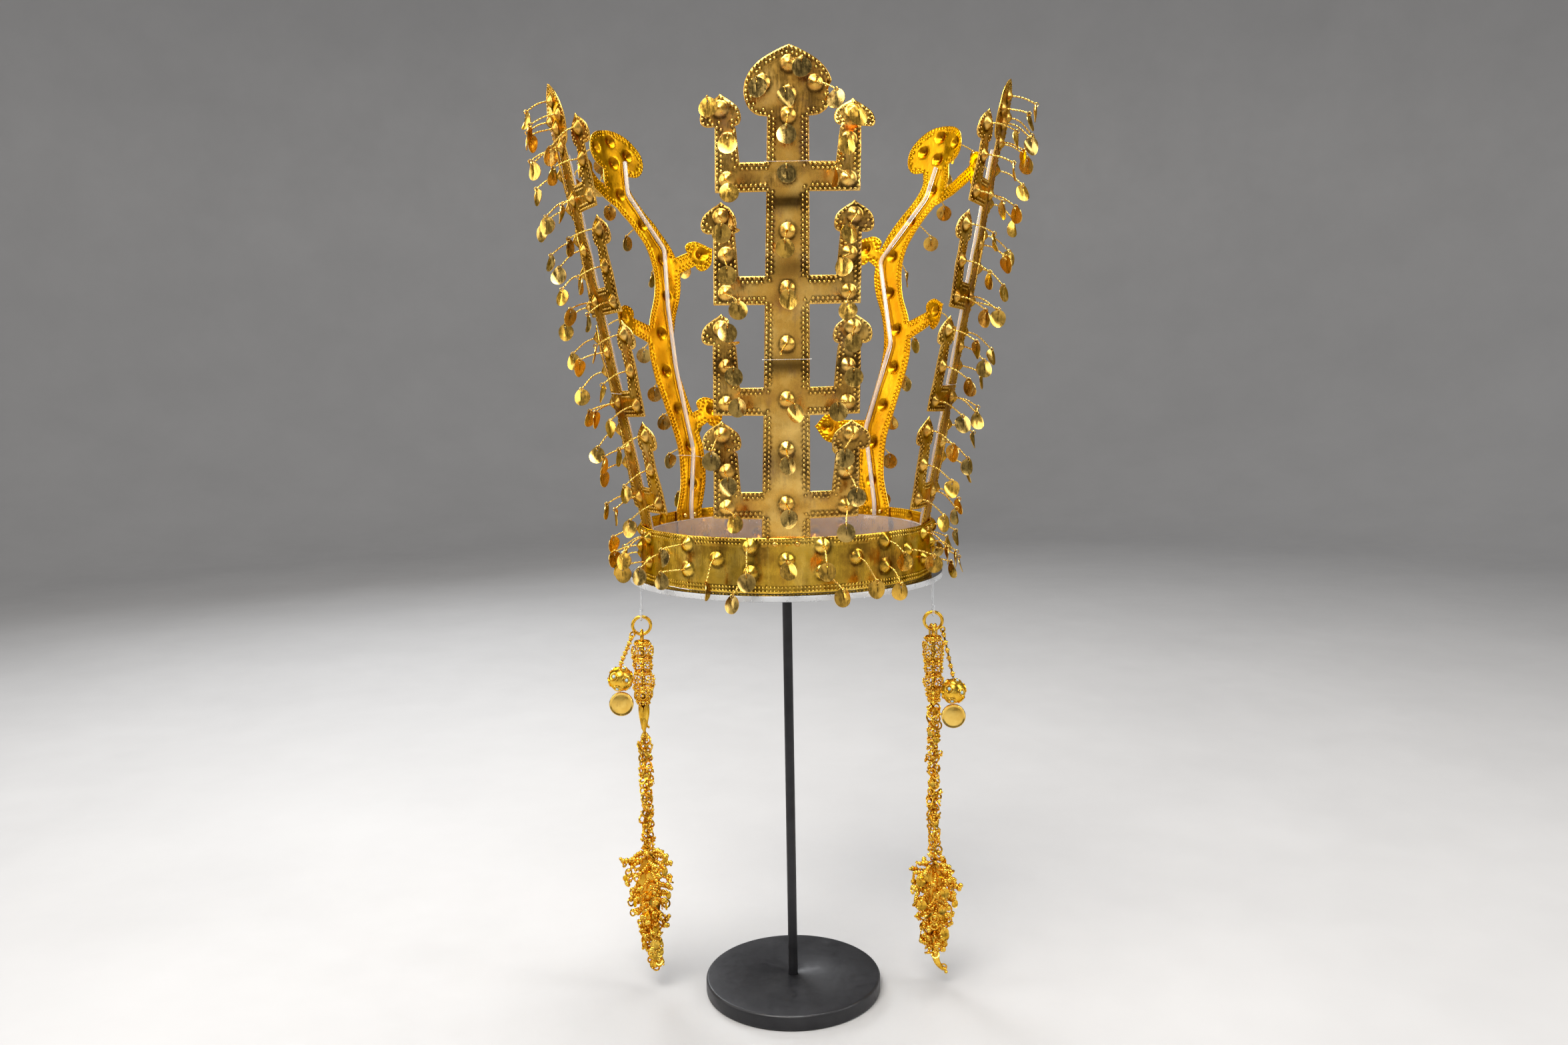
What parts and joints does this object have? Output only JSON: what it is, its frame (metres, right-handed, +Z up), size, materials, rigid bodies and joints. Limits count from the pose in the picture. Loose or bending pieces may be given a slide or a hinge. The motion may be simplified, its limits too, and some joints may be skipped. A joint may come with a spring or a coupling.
{
  "type": "gold crown on a clear cradle",
  "caption": "Sheet-gold crown: a headband with tree-shaped and antler-shaped uprights, hanging discs and two long pendants, held on a clear plate, post and foot.",
  "frame": {"origin": "middle of the foot's underside, on the surface that the stand rests on", "axes": "+Z up along the post, -Y towards the front, where the middle tree stands, +X to the right as seen from the front"},
  "size_m": [0.2834, 0.2337, 0.5251],
  "materials": {
    "gold": "thin hammered gold sheet, satin, with a little brown in the punched hollows",
    "clear": "clear polished acrylic",
    "black": "satin black"
  },
  "bodies": {
    "root": {"headband": "gold", "front_tree": "gold", "left_tree": "gold", "right_tree": "gold", "left_antler": "gold", "right_antler": "gold", "front_tree_rivet_1": "gold", "front_tree_rivet_2": "gold", "left_tree_rivet_1": "gold", "left_tree_rivet_2": "gold", "right_tree_rivet_1": "gold", "right_tree_rivet_2": "gold", "left_antler_rivet_1": "gold", "left_antler_rivet_2": "gold", "right_antler_rivet_1": "gold", "right_antler_rivet_2": "gold", "left_ring": "gold", "left_body": "gold", "left_leaf": "gold", "left_chain": "gold", "left_cluster": "gold", "left_beads": "gold", "left_ball": "gold", "left_disc": "gold", "left_hook": "clear", "right_ring": "gold", "right_body": "gold", "right_leaf": "gold", "right_chain": "gold", "right_cluster": "gold", "right_beads": "gold", "right_ball": "gold", "right_disc": "gold", "right_hook": "clear", "front_tree_rod": "clear", "left_tree_rod": "clear", "right_tree_rod": "clear", "left_antler_rod": "clear", "right_antler_rod": "clear", "collar": "clear", "plate": "clear", "post": "black", "foot": "black"}
  },
  "joints": []
}
